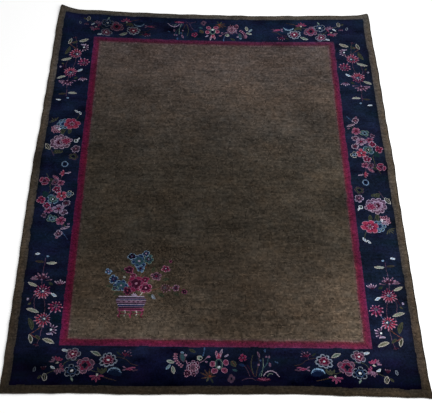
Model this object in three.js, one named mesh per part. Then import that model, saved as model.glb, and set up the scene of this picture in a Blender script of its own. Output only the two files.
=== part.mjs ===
// A large room-size carpet, hand-knotted in one piece: cotton foundation and short wool pile, laid flat.
// Frame: +X across the width, +Y along the length towards the far end, +Z up, in millimetres.
// The origin is on the floor under the middle of the outline's bounding box.

import * as THREE from "three";

// Driving dimensions.
const WIDTH = 2740;
const LENGTH = 3630;
const THICKNESS = 10;
const CORNER_RADIUS = 18;

// The outline is walked in steps of about this length, with a few more round each corner.
const STEP_LENGTH = 30;
const CORNER_STEPS = 4;

// The middle of each face is one plain panel, and the face around it fans out from the panel's corners.
// The carpet bears on the panel under it, and the back slopes up by this much from the panel to the rim.
const PANEL_MARGIN = 250;
const BACK_RISE = 2;

// Rings of the section, from the top round the rolled rim to the underside.
// ripple is the share of the rim's ripple that a ring takes.
const SECTION = [
  { inset: 130, height: THICKNESS, ripple: 0 },
  { inset: 50, height: THICKNESS, ripple: 0.55 },
  { inset: 5, height: THICKNESS * 0.85, ripple: 1 },
  { inset: 0, height: THICKNESS * 0.45, ripple: 1 },
  { inset: 5, height: THICKNESS * 0.25, ripple: 1 },
  { inset: 50, height: BACK_RISE, ripple: 0.55 },
  { inset: 130, height: BACK_RISE, ripple: 0 },
];

// How far each edge lies outside its straight line, at a share of the half side from the middle.
// at runs towards +X on the near and far ends, and towards +Y on the left and right sides.
const LEFT_EDGE = [
  { at: -1, out: -2 },
  { at: -0.6, out: 1 },
  { at: -0.22, out: 7 },
  { at: 0.04, out: 8 },
  { at: 0.3, out: -3 },
  { at: 0.68, out: -10 },
  { at: 1, out: -10 },
];
const RIGHT_EDGE = [
  { at: -1, out: 3 },
  { at: -0.8, out: -1 },
  { at: -0.1, out: 0 },
  { at: 0.08, out: 7 },
  { at: 0.3, out: 1 },
  { at: 0.62, out: 2 },
  { at: 0.86, out: -6 },
  { at: 1, out: 0 },
];
const NEAR_EDGE = [
  { at: -1, out: 5 },
  { at: -0.6, out: -2 },
  { at: -0.4, out: 3 },
  { at: -0.04, out: -5 },
  { at: 0.38, out: -11 },
  { at: 0.62, out: -2 },
  { at: 1, out: 6 },
];
const FAR_EDGE = [
  { at: -1, out: 28 },
  { at: -0.76, out: 20 },
  { at: -0.53, out: 2 },
  { at: -0.2, out: -9 },
  { at: 0.27, out: -10 },
  { at: 0.5, out: 3 },
  { at: 0.75, out: 19 },
  { at: 1, out: 33 },
];

// How far in from its edge each bow still shows.
const SIDE_REACH = 380;
const NEAR_REACH = 420;
const FAR_REACH = 1100;

// Corners pulled out of square and lifted a little. shiftX and shiftY move the tip along the axes.
const CORNERS = [
  { x: -1, y: 1, shiftX: 16, shiftY: 56, lift: 8, reach: 190 },
  { x: 1, y: 1, shiftX: -9, shiftY: 28, lift: 4, reach: 120 },
  { x: -1, y: -1, shiftX: -16, shiftY: -3, lift: 2, reach: 75 },
  { x: 1, y: -1, shiftX: 15, shiftY: -9, lift: 3, reach: 75 },
];
const CORNER_FALL = 1.5;

// Slack waves along the rim, met while walking round it: each lifts the rim and sways it in and out.
const RIPPLES = [
  { pitch: 205, lift: 0.9, sway: 2.6, phase: 0.4 },
  { pitch: 83, lift: 0.6, sway: 1, phase: 2 },
];

const COLOUR_OLIVE_BROWN = 0x463f35;

function smooth(share) {
  const t = THREE.MathUtils.clamp(share, 0, 1);
  return t * t * (3 - 2 * t);
}

// Reads an edge's table at a share of its half side.
function readEdge(rows, at) {
  const next = rows.findIndex((row) => row.at >= at);
  if (next < 0) return rows[rows.length - 1].out;
  if (next === 0) return rows[0].out;
  const from = rows[next - 1];
  const to = rows[next];
  return THREE.MathUtils.lerp(from.out, to.out, smooth((at - from.at) / (to.at - from.at)));
}

// Lays a point of the squared-up carpet where the real one lies, and gives its lift off the floor.
function lay(x, y) {
  const alongX = x / (WIDTH / 2);
  const alongY = y / (LENGTH / 2);
  const nearRight = smooth(1 - (WIDTH / 2 - x) / SIDE_REACH);
  const nearLeft = smooth(1 - (WIDTH / 2 + x) / SIDE_REACH);
  const nearFar = smooth(1 - (LENGTH / 2 - y) / FAR_REACH);
  const nearNear = smooth(1 - (LENGTH / 2 + y) / NEAR_REACH);
  const place = {
    x: x + nearRight * readEdge(RIGHT_EDGE, alongY) - nearLeft * readEdge(LEFT_EDGE, alongY),
    y: y + nearFar * readEdge(FAR_EDGE, alongX) - nearNear * readEdge(NEAR_EDGE, alongX),
    lift: 0,
  };
  for (const corner of CORNERS) {
    const away = Math.hypot(x - corner.x * (WIDTH / 2), y - corner.y * (LENGTH / 2));
    const pull = Math.max(0, 1 - away / corner.reach) ** CORNER_FALL;
    place.x += corner.shiftX * pull;
    place.y += corner.shiftY * pull;
    place.lift += corner.lift * pull;
  }
  return place;
}

// One outline station: a point, the outward direction there and the distance walked round the rim.
function station(x, y, outX, outY, walked) {
  return { x, y, outX, outY, walked };
}

// Walks the rounded rectangle anticlockwise, from the right side's near end.
function outlineStations() {
  const sides = [
    { outX: 1, outY: 0, half: LENGTH / 2, across: WIDTH / 2 },
    { outX: 0, outY: 1, half: WIDTH / 2, across: LENGTH / 2 },
    { outX: -1, outY: 0, half: LENGTH / 2, across: WIDTH / 2 },
    { outX: 0, outY: -1, half: WIDTH / 2, across: LENGTH / 2 },
  ];
  const stations = [];
  let walked = 0;
  for (const side of sides) {
    const straight = side.half - CORNER_RADIUS;
    const steps = Math.round((2 * straight) / STEP_LENGTH);
    const alongX = -side.outY;
    const alongY = side.outX;
    for (let i = 0; i < steps; i++) {
      const along = straight * ((2 * i) / steps - 1);
      const x = side.outX * side.across + alongX * along;
      const y = side.outY * side.across + alongY * along;
      stations.push(station(x, y, side.outX, side.outY, walked + straight + along));
    }
    walked += 2 * straight;
    const start = Math.atan2(side.outY, side.outX);
    const centreX = side.outX * (side.across - CORNER_RADIUS) + alongX * straight;
    const centreY = side.outY * (side.across - CORNER_RADIUS) + alongY * straight;
    for (let i = 0; i < CORNER_STEPS; i++) {
      const turn = ((Math.PI / 2) * i) / CORNER_STEPS;
      const outX = Math.cos(start + turn);
      const outY = Math.sin(start + turn);
      const x = centreX + CORNER_RADIUS * outX;
      const y = centreY + CORNER_RADIUS * outY;
      stations.push(station(x, y, outX, outY, walked + CORNER_RADIUS * turn));
    }
    walked += (CORNER_RADIUS * Math.PI) / 2;
  }
  return stations;
}

// Draws a station towards the middle, so that each side comes in by the inset and corners keep their shape.
function insetStation(spot, inset) {
  return {
    x: spot.x * (1 - inset / (WIDTH / 2)),
    y: spot.y * (1 - inset / (LENGTH / 2)),
  };
}

function ripplesAt(walked) {
  let lift = 0;
  let sway = 0;
  for (const wave of RIPPLES) {
    const turn = Math.sin((2 * Math.PI * walked) / wave.pitch + wave.phase);
    lift += wave.lift * (1 + turn);
    sway += wave.sway * turn;
  }
  return { lift, sway };
}

function sectionRing(stations, row) {
  return stations.map((spot) => {
    const flat = insetStation(spot, row.inset);
    const laid = lay(flat.x, flat.y);
    const wave = ripplesAt(spot.walked);
    const sway = wave.sway * row.ripple;
    const height = row.height + laid.lift + wave.lift * row.ripple;
    return new THREE.Vector3(laid.x + spot.outX * sway, laid.y + spot.outY * sway, height);
  });
}

// Numbers the quarters of the carpet anticlockwise from +X +Y, as the panel's corners are numbered.
function quadrant(point) {
  if (point.y > 0) return point.x > 0 ? 0 : 1;
  return point.x > 0 ? 3 : 2;
}

// Closes a face inside its innermost ring: fans to the panel's corners, and the panel itself.
function capTriangles(ring, first, panelFirst) {
  const triangles = [];
  ring.forEach((point, i) => {
    const next = (i + 1) % ring.length;
    const here = panelFirst + quadrant(point);
    const there = panelFirst + quadrant(ring[next]);
    triangles.push([first + i, first + next, here]);
    if (there !== here) triangles.push([first + next, there, here]);
  });
  triangles.push([panelFirst, panelFirst + 1, panelFirst + 2]);
  triangles.push([panelFirst, panelFirst + 2, panelFirst + 3]);
  return triangles;
}

function panelCorners(height) {
  const x = WIDTH / 2 - PANEL_MARGIN;
  const y = LENGTH / 2 - PANEL_MARGIN;
  return [
    new THREE.Vector3(x, y, height),
    new THREE.Vector3(-x, y, height),
    new THREE.Vector3(-x, -y, height),
    new THREE.Vector3(x, -y, height),
  ];
}

function carpetGeometry() {
  const stations = outlineStations();
  const rings = SECTION.map((row) => sectionRing(stations, row));
  const count = stations.length;
  const topPanel = rings.length * count;
  const underPanel = topPanel + 4;
  const points = [...rings.flat(), ...panelCorners(THICKNESS), ...panelCorners(0)];

  const triangles = [];
  for (let band = 0; band + 1 < rings.length; band++) {
    for (let i = 0; i < count; i++) {
      const next = (i + 1) % count;
      const upper = band * count;
      const lower = upper + count;
      triangles.push([upper + i, lower + i, lower + next]);
      triangles.push([upper + i, lower + next, upper + next]);
    }
  }
  const lastRing = rings.length - 1;
  triangles.push(...capTriangles(rings[0], 0, topPanel));
  const under = capTriangles(rings[lastRing], lastRing * count, underPanel);
  triangles.push(...under.map(([a, b, c]) => [a, c, b]));

  const geometry = new THREE.BufferGeometry().setFromPoints(points);
  geometry.setIndex(triangles.flat());
  geometry.computeBoundingBox();
  const centre = geometry.boundingBox.getCenter(new THREE.Vector3());
  geometry.translate(-centre.x, -centre.y, 0);
  geometry.computeVertexNormals();
  return geometry;
}

const wool = new THREE.MeshStandardMaterial({
  color: COLOUR_OLIVE_BROWN,
  roughness: 0.95,
  metalness: 0,
});

const rug = new THREE.Mesh(carpetGeometry(), wool);
rug.name = "rug";

const carpet = new THREE.Group();
carpet.add(rug);

export default carpet;
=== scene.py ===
import math

import bpy
import numpy as np
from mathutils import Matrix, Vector


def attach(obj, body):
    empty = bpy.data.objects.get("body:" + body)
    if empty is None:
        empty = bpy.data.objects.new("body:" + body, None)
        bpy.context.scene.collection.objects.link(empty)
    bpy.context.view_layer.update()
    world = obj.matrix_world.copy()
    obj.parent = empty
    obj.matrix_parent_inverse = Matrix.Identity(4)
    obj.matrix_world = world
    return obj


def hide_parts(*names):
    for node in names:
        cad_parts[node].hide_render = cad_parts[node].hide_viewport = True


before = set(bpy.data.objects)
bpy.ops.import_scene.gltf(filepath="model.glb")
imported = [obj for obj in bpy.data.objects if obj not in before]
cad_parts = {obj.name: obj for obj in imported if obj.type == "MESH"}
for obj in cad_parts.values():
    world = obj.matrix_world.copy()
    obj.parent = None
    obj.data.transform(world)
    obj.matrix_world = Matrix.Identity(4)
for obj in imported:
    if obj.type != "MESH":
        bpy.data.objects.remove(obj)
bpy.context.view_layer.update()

# A room-size hand-knotted carpet. The design is knotted row by row on a grid, in millimetres of the
# squared-up carpet, and the grid is then laid where the real one lies, with its bowed edges and pulled
# corners. +X runs across the width, +Y along the length towards the far end.

# Sizes.
WIDTH = 2740.0
LENGTH = 3630.0
HALF_W = WIDTH / 2
HALF_L = LENGTH / 2
COLUMNS = 630
ROWS = 834
KNOT_X = WIDTH / COLUMNS
KNOT_Y = LENGTH / ROWS

# Half width and half length of the nested rectangles: the carpet, its border, inner stripe and field.
CARPET = (HALF_W, HALF_L)
BORDER = (1310.5, 1758.2)
STRIPE = (1026.0, 1476.0)
FIELD = (974.1, 1424.7)


def nested(columns, rows):
    """A rectangle of knots this far in from the edges: first column, last, first row, last."""
    return columns, COLUMNS - columns, rows, ROWS - rows


# The same rectangles in knots, where the pieces of pile are parted, and a finely modelled panel.
EDGE_KNOTS = nested(2, 2)
BORDER_KNOTS = nested(14, 14)
STRIPE_KNOTS = nested(79, 79)
FIELD_KNOTS = nested(92, 90)
PANEL_KNOTS = (132, 276, 118, 266)

# How far each edge lies outside its straight line, at a share of the half side from the middle.
LEFT_EDGE = [(-1, -2), (-0.6, 1), (-0.22, 7), (0.04, 8), (0.3, -3), (0.68, -10), (1, -10)]
RIGHT_EDGE = [(-1, 3), (-0.8, -1), (-0.1, 0), (0.08, 7), (0.3, 1), (0.62, 2), (0.86, -6), (1, 0)]
NEAR_EDGE = [(-1, 5), (-0.6, -2), (-0.4, 3), (-0.04, -5), (0.38, -11), (0.62, -2), (1, 6)]
FAR_EDGE = [(-1, 28), (-0.76, 20), (-0.53, 2), (-0.2, -9), (0.27, -10), (0.5, 3), (0.75, 19), (1, 33)]
SIDE_REACH = 380.0
NEAR_REACH = 420.0
FAR_REACH = 1100.0

# Pulled corners: side of X, side of Y, shift along X and Y, lift, reach.
CORNERS = [
    (-1, 1, 16, 56, 8, 190),
    (1, 1, -9, 28, 4, 120),
    (-1, -1, -16, -3, 2, 75),
    (1, -1, 15, -9, 3, 75),
]
CORNER_FALL = 1.5
CORNER_RADIUS = 18.0
SMALLEST_RADIUS = 4.0
FEWEST_TURNS = 4

# Slack waves along the rim: pitch, lift, sway in and out, phase. They swell and fade on the way round,
# and a place takes a share of them that falls with its distance in from the edge.
RIPPLES = [(205, 0.9, 2.6, 0.4), (83, 0.3, 0.5, 2.0)]
SWELL_MEAN = 0.42
SWELL_CHANGE = 0.26
SWELL_PITCHES = (1130, 790)
SWELL_PHASE = 0.7
WAVE_INSETS = (0, 5, 50, 130)
WAVE_SHARES = (1, 1, 0.55, 0)


def smooth(t):
    t = np.clip(t, 0, 1)
    return t * t * (3 - 2 * t)


def read_edge(rows, at):
    """How far an edge lies outside its straight line, read from its table."""
    places, outs = np.array(rows, float).T
    k = np.clip(np.searchsorted(places, at) - 1, 0, len(rows) - 2)
    share = smooth((at - places[k]) / (places[k + 1] - places[k]))
    return outs[k] + (outs[k + 1] - outs[k]) * share


def waves(walked):
    """The rim's lift and sway at a distance walked round it."""
    lift = np.zeros_like(walked)
    sway = np.zeros_like(walked)
    first, second = (2 * np.pi * walked / pitch for pitch in SWELL_PITCHES)
    swell = SWELL_MEAN + SWELL_CHANGE * np.sin(first + SWELL_PHASE) * np.cos(second)
    for pitch, high, wide, phase in RIPPLES:
        turn = np.sin(2 * np.pi * walked / pitch + phase)
        lift += swell * high * (1 + turn)
        sway += swell * wide * turn
    return lift, sway


def lay(x, y):
    """Where a point of the squared-up carpet lies, and how far it is lifted off the floor."""
    right = smooth(1 - (HALF_W - x) / SIDE_REACH)
    left = smooth(1 - (HALF_W + x) / SIDE_REACH)
    far = smooth(1 - (HALF_L - y) / FAR_REACH)
    near = smooth(1 - (HALF_L + y) / NEAR_REACH)
    px = x + right * read_edge(RIGHT_EDGE, y / HALF_L) - left * read_edge(LEFT_EDGE, y / HALF_L)
    py = y + far * read_edge(FAR_EDGE, x / HALF_W) - near * read_edge(NEAR_EDGE, x / HALF_W)
    lift = np.zeros_like(px)
    for side_x, side_y, shift_x, shift_y, high, reach in CORNERS:
        away = np.hypot(x - side_x * HALF_W, y - side_y * HALF_L)
        pull = np.maximum(0, 1 - away / reach) ** CORNER_FALL
        px = px + shift_x * pull
        py = py + shift_y * pull
        lift = lift + high * pull

    # The waves are met while walking round the carpet from the right side's near end.
    straight_x = HALF_W - CORNER_RADIUS
    straight_y = HALF_L - CORNER_RADIUS
    arc = CORNER_RADIUS * math.pi / 2
    far_start = 2 * straight_y + arc
    left_start = far_start + 2 * straight_x + arc
    near_start = left_start + 2 * straight_y + arc
    lift_x, sway_x = waves(np.where(x > 0, straight_y + y, left_start + straight_y - y))
    lift_y, sway_y = waves(np.where(y > 0, far_start + straight_x - x, near_start + straight_x + x))
    share_x = np.interp(HALF_W - np.abs(x), WAVE_INSETS, WAVE_SHARES)
    share_y = np.interp(HALF_L - np.abs(y), WAVE_INSETS, WAVE_SHARES)
    weight = share_x / np.maximum(share_x + share_y, 1e-6)
    lift = lift + np.maximum(share_x, share_y) * (weight * lift_x + (1 - weight) * lift_y)
    px = px + np.sign(x) * share_x * sway_x
    py = py + np.sign(y) * share_y * sway_y
    return px, py, lift


def rim(inset):
    """Rows of x, y and outward direction round the carpet at an inset, anticlockwise from the right side."""
    radius = max(CORNER_RADIUS - inset, SMALLEST_RADIUS)
    half_x = HALF_W - inset
    half_y = HALF_L - inset
    rows = []
    for out_x, out_y in ((1, 0), (0, 1), (-1, 0), (0, -1)):
        straight = (half_y if out_x else half_x) - radius
        across_by = half_x if out_x else half_y
        way_x, way_y = -out_y, out_x
        count = int(round(2 * straight / KNOT_Y))
        for i in range(count):
            along_by = straight * (2 * i / count - 1)
            x = out_x * across_by + way_x * along_by
            y = out_y * across_by + way_y * along_by
            rows.append((x, y, out_x, out_y))
        start = math.atan2(out_y, out_x)
        cx = out_x * (across_by - radius) + way_x * straight
        cy = out_y * (across_by - radius) + way_y * straight
        turns = max(FEWEST_TURNS, int(round(radius * math.pi / 2 / KNOT_Y)))
        for i in range(turns):
            a = start + math.pi / 2 * i / turns
            rows.append((cx + radius * math.cos(a), cy + radius * math.sin(a), math.cos(a), math.sin(a)))
    return np.array(rows)


def middle_of_rim():
    outline = rim(0)
    x, y, _ = lay(outline[:, 0], outline[:, 1])
    return (x.min() + x.max()) / 2, (y.min() + y.max()) / 2


CENTRE_X, CENTRE_Y = middle_of_rim()


def place(x, y, height):
    """Points in metres in the frame, for a place on the squared-up carpet and a height over its back."""
    px, py, lift = lay(x, y)
    return np.stack([px - CENTRE_X, py - CENTRE_Y, height + lift], axis=-1) * 0.001


# Dyes as they look in soft white light, in 8-bit sRGB.
WHITE = (176, 182, 188)
CREAM = (140, 138, 134)
STRAW = (102, 101, 88)
CELADON = (92, 108, 100)
OLIVE = (56, 57, 45)
MOSS = (34, 40, 34)
BARK = (78, 48, 40)
UMBER = (52, 41, 36)
RUST = (98, 48, 36)
PALE = (140, 126, 146)
LILAC = (106, 82, 104)
MAUVE = (62, 45, 60)
ROSE = (132, 95, 115)
PINK = (110, 56, 82)
CORAL = (126, 50, 68)
CHERRY = (108, 37, 57)
CRIMSON = (86, 22, 46)
WINE = (46, 16, 32)
SKY = (102, 124, 146)
SLATE = (50, 70, 100)
MIST = (106, 114, 128)
TEAL = (36, 58, 66)
INDIGO = (20, 34, 62)
NIGHT = (8, 12, 26)

across = (np.arange(COLUMNS) + 0.5) * KNOT_X - HALF_W
along = (np.arange(ROWS) + 0.5) * KNOT_Y - HALF_L
dye = np.zeros((ROWS, COLUMNS, 3))
motif = np.zeros((ROWS, COLUMNS), np.int32)

# This brings interpolated noise back to about unit spread.
MOTTLE_GAIN = 1.35


def mottle(seed, size_x, size_y):
    """Smooth unevenness over the carpet, with about unit spread, in patches of the given size."""
    rng = np.random.default_rng(seed)
    gx = (across + HALF_W) / size_x
    gy = (along + HALF_L) / size_y
    coarse = rng.standard_normal((int(gy[-1]) + 3, int(gx[-1]) + 3))
    ix, iy = gx.astype(int), gy.astype(int)
    tx, ty = smooth(gx - ix)[None, :], smooth(gy - iy)[:, None]
    low = coarse[iy][:, ix] * (1 - tx) + coarse[iy][:, ix + 1] * tx
    high = coarse[iy + 1][:, ix] * (1 - tx) + coarse[iy + 1][:, ix + 1] * tx
    return (low * (1 - ty) + high * ty) * MOTTLE_GAIN


def mottled(*rows):
    """Layers of mottle on one another, each (amount, seed, size across, size along)."""
    return sum(amount * mottle(seed, size_x, size_y) for amount, seed, size_x, size_y in rows)


def tones(rows, at):
    """A colour that changes from place to place, from (place, colour) rows."""
    places, colours = zip(*rows)
    return np.stack([np.interp(at, places, shade) for shade in zip(*colours)], axis=-1)


# The lines between the grounds wander by a millimetre or two.
WANDER = mottled((1.4, 11, 60, 60))


def inset_from(band):
    """How far each knot lies inside one of the nested rectangles."""
    return np.minimum(band[0] - np.abs(across)[None, :], band[1] - np.abs(along)[:, None]) - WANDER


def within(band):
    return inset_from(band) > 0


# The plain grounds. Each has its outer rectangle, its colour at places along the carpet, how much more red,
# green and blue it has for each metre to the right, and their shares at distances in from the rectangle.
# The colours along the carpet are partly the dyes' own and partly painted sheen: the field is lighter
# towards both ends and darker in its middle, as light falls on the pile. The gain to the right is painted
# light from the lamp's side.
GROUNDS = [
    (CARPET,
     [(-1815, (34, 29, 23)), (-1740, (38, 33, 26)), (-1650, (54, 46, 38)), (-900, (56, 49, 41)),
      (0, (58, 52, 45)), (1400, (62, 56, 50)), (1815, (57, 54, 49))],
     (0.05, 0.05, 0.05),
     [(0, (1.07, 1.07, 1.06)), (24, (1.03, 1.02, 1.01)), (40, (0.98, 0.98, 1.02)),
      (57, (0.90, 0.94, 1.03))]),
    (BORDER,
     [(-1760, (4, 5, 19)), (-1640, (8, 11, 26)), (-1450, (14, 19, 34)), (1300, (14, 20, 36)),
      (1760, (14, 20, 38))],
     (0.11, 0.08, 0.03),
     [(0, (0.85, 0.81, 0.74)), (15, (0.92, 0.90, 0.88)), (36, (1, 1, 1))]),
    (STRIPE,
     [(-1480, (74, 26, 44)), (-1100, (66, 19, 38)), (900, (69, 22, 41)), (1480, (61, 27, 44))],
     (0.07, 0.20, 0.10),
     [(0, (0.94, 1.2, 1.2)), (8, (0.98, 1.0, 1.1)), (22, (1.02, 0.92, 1.0)), (36, (0.98, 0.93, 0.92)),
      (44, (0.95, 1.25, 0.90)), (51, (0.98, 1.5, 1.0))]),
    (FIELD,
     [(-1425, (70, 61, 52)), (-1250, (60, 52, 44)), (-1000, (52, 45, 38)), (-500, (46, 41, 35)),
      (0, (49, 44, 38)), (350, (52, 47, 42)), (800, (59, 52, 47)), (1425, (64, 56, 53))],
     (0.06, 0.06, 0.06),
     [(0, (1.10, 0.95, 1.12)), (18, (1, 1, 1))]),
]


def knot_grounds():
    """The plain bands, each knotted over the one round it. The first one covers every knot."""
    for band, rows, painted_light_to_right, shades in GROUNDS:
        inset = inset_from(band)
        inside = (inset > 0) | (band is CARPET)
        # Painted light: the tones along the carpet carry painted sheen, and the gain to the right is painted
        # light from the lamp's side.
        ground_with_painted_light = tones(rows, along)[:, None, :] * (1 + np.outer(across / 1000, painted_light_to_right))[None, :, :]
        dye[inside] = ground_with_painted_light[inside] * tones(shades, inset[inside])


def through(points, step=2.5):
    """A smooth curve through the points, as close points along it."""
    p = np.array(points, float)
    p = np.vstack([2 * p[0] - p[1], p, 2 * p[-1] - p[-2]])
    out = []
    for a, b, c, d in zip(p[:-3], p[1:-2], p[2:-1], p[3:]):
        t = np.arange(0, 1, step / max(step, np.hypot(*(c - b))))[:, None]
        bend = (2 * a - 5 * b + 4 * c - d) * t**2 + (3 * b - a - 3 * c + d) * t**3
        out.append(0.5 * (2 * b + (c - a) * t + bend))
    out.append(p[-2][None, :])
    return np.vstack(out)


def shrink(mask, knots):
    """The mask without its outermost knots."""
    for _ in range(knots):
        inner = mask.copy()
        inner[1:] &= mask[:-1]
        inner[:-1] &= mask[1:]
        inner[:, 1:] &= mask[:, :-1]
        inner[:, :-1] &= mask[:, 1:]
        mask = inner
    return mask


# Millimetres: a thin stem, a leaf's vein and the seam between two petals. A petal's tip starts at its share.
STEM = 4.4
VEIN = 4.8
SEAM = 3.0
TIP_START = 0.66


class Brush:
    """Knots motifs into the ground. One table of a spray serves its mirrored and shifted copies."""

    count = 0

    def __init__(self, flip_x=1, flip_y=1, shift_x=0.0, shift_y=0.0, tone=1.0):
        self.flip_x, self.flip_y = flip_x, flip_y
        self.shift_x, self.shift_y = shift_x, shift_y
        self.tone = tone

    def around(self, x, y, reach):
        """The knots near a place, and how far each lies from it in the spray's own directions."""
        cx = self.flip_x * x + self.shift_x
        cy = self.flip_y * y + self.shift_y
        c0, c1 = np.searchsorted(across, (cx - reach, cx + reach))
        r0, r1 = np.searchsorted(along, (cy - reach, cy + reach))
        dx, dy = np.meshgrid((across[c0:c1] - cx) * self.flip_x, (along[r0:r1] - cy) * self.flip_y)
        return (slice(r0, r1), slice(c0, c1)), dx, dy

    def lay_on(self, block, mask, fill, line=None, bold=1):
        """Knots a form in one colour, with an outline of that many knots in another."""
        motif[block][mask] = Brush.count
        if line:
            dye[block][mask] = np.array(line) * self.tone
            mask = shrink(mask, bold)
        if fill:
            dye[block][mask] = np.array(fill) * self.tone

    def stroke(self, points, colour, width=STEM, taper=0.0):
        """A stem, line or crescent. taper is the share of its width lost at the ends."""
        path = through(points)
        mid = (path.min(0) + path.max(0)) / 2
        block, dx, dy = self.around(*mid, np.hypot(*(path - mid).T).max() + width)
        half = width / 2 * (1 - taper * np.linspace(-1, 1, len(path)) ** 2)
        mask = np.zeros(dx.shape, bool)
        for (px, py), h in zip(path - mid, half):
            mask |= np.hypot(dx - px, dy - py) < h
        dye[block][mask] = np.array(colour) * self.tone

    def petal(self, block, dx, dy, root, tip, width, fill, line=None, point=None, belly=1.0, bend=0.0):
        """An almond from root to tip. belly over 1 widens it near the tip; point is its tip's colour."""
        way = np.array(tip, float) - root
        size = np.hypot(*way)
        u = ((dx - root[0]) * way[0] + (dy - root[1]) * way[1]) / size**2
        t = np.clip(u, 0, 1)
        bow = np.sin(np.pi * t**belly)
        side = ((dy - root[1]) * way[0] - (dx - root[0]) * way[1]) / size - bend * bow
        mask = (u > 0) & (u < 1) & (np.abs(side) < width / 2 * bow**0.7)
        self.lay_on(block, mask, fill, line)
        if point:
            self.lay_on(block, mask & (t > TIP_START), point)
        return mask, t, side

    def leaf(self, root, tip, width, fill, line=None, vein=None, bend=0.0):
        Brush.count += 1
        mid = ((root[0] + tip[0]) / 2, (root[1] + tip[1]) / 2)
        ends = [(p[0] - mid[0], p[1] - mid[1]) for p in (root, tip)]
        block, dx, dy = self.around(*mid, np.hypot(*ends[0]) + abs(bend) + 6)
        mask, t, side = self.petal(block, dx, dy, np.array(ends[0]), ends[1], width, fill, line, bend=bend)
        if vein:
            self.lay_on(block, mask & (np.abs(side) < VEIN / 2) & (t < 0.8) & (t > 0.1), vein)

    def bud(self, x, y, wide, high, fill, line=None, turn=0.0):
        Brush.count += 1
        block, dx, dy = self.around(x, y, max(wide, high) / 2 + 4)
        c, s = math.cos(math.radians(turn)), math.sin(math.radians(turn))
        u, v = (dx * c + dy * s) / (wide / 2), (-dx * s + dy * c) / (high / 2)
        self.lay_on(block, u * u + v * v < 1, fill, line)

    def bloom(self, x, y, r, rings, lobes=5, depth=0.3, wide=1.0, turn=0.0, seam=NIGHT, bold=1):
        """A flower from the front: lobed discs one on another, each (share, fill, outline)."""
        Brush.count += 1
        block, dx, dy = self.around(x, y, r * max(wide, 1) + 6)
        rho = np.hypot(dx / wide, dy)
        angle = np.arctan2(dy, dx / wide) - math.radians(turn)
        r = r * (1 + 0.07 * np.sin(2 * angle + x) + 0.06 * np.sin(3 * angle + y))
        for k, (share, *colours) in enumerate(rings):
            lobe = np.abs(np.cos((angle - (k % 2) * math.pi / lobes) * lobes / 2))
            mask = rho < r * share * (1 - depth * (1 - lobe) ** 2)
            self.lay_on(block, mask, *colours, bold=1 if k else bold)
            if seam and k == 0:
                self.lay_on(block, mask & (rho * lobe * 2 / lobes < SEAM), seam)

    def blossom(self, x, y, r, fill, line, heart=PALE, lobes=5, turn=18.0):
        self.bloom(x, y, r, [(1, fill, line), (0.36, WINE), (0.17, heart)], lobes, 0.4, turn=turn)

    def peony(self, x, y, r, fill, line, deep, inner, heart, lobes=7, turn=0.0):
        rings = [(1, fill, line), (0.7, deep, inner), (0.38, deep), (0.15, heart)]
        self.bloom(x, y, r, rings, lobes, 0.26, turn=turn)

    def daisy(self, x, y, r, colour, point, inner, heart=PALE, petals=15, turn=0.0, aim=-40.0):
        """A chrysanthemum: narrow petals, longest towards the aim, and shorter ones on them."""
        Brush.count += 1
        block, dx, dy = self.around(x, y, 1.3 * r + 6)
        for count, root, tip, width, fill, end in (
            (petals, 0.3, 1.0, 2.1 / petals, colour, point),
            (petals - 4, 0.16, 0.6, 1.5 / petals, inner, None),
        ):
            for i in range(count):
                a = math.radians(turn + 360 * i / count)
                way = np.array([math.cos(a), math.sin(a)]) * r
                longer = 0.22 * math.cos(a - math.radians(aim))
                reach = tip * (1 + longer - 0.16 * ((i * 7) % 5) / 4)
                self.petal(block, dx, dy, way * root, way * reach, r * width * (1 + longer),
                           fill, None, end, 1.3)
        rho = np.hypot(dx, dy)
        self.lay_on(block, rho < 0.2 * r, TEAL)
        self.lay_on(block, rho < 0.09 * r, heart)

    def fan(self, x, y, r, aim, spread, petals, fill, point=None, width=0.3, start=0.06, line=None):
        """A flower seen from the side: petals that open about the aim, in degrees, from a share of r."""
        Brush.count += 1
        block, dx, dy = self.around(x, y, r * 1.1 + 6)
        for i in sorted(range(petals), key=lambda i: -abs(i - (petals - 1) / 2)):
            off = (i / (petals - 1) - 0.5) * 2
            a = math.radians(aim + off * spread)
            way = np.array([math.cos(a), math.sin(a)])
            reach = way * r * (1 - 0.14 * (i % 2))
            self.petal(block, dx, dy, way * r * start, reach, r * width, fill, line, point, 1.5)

    def lined_fan(self, x, y, r, aim, spread, petals, fill, line, width=0.3, start=0.06):
        self.fan(x, y, r, aim, spread, petals, fill, None, width, start, line)


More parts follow.
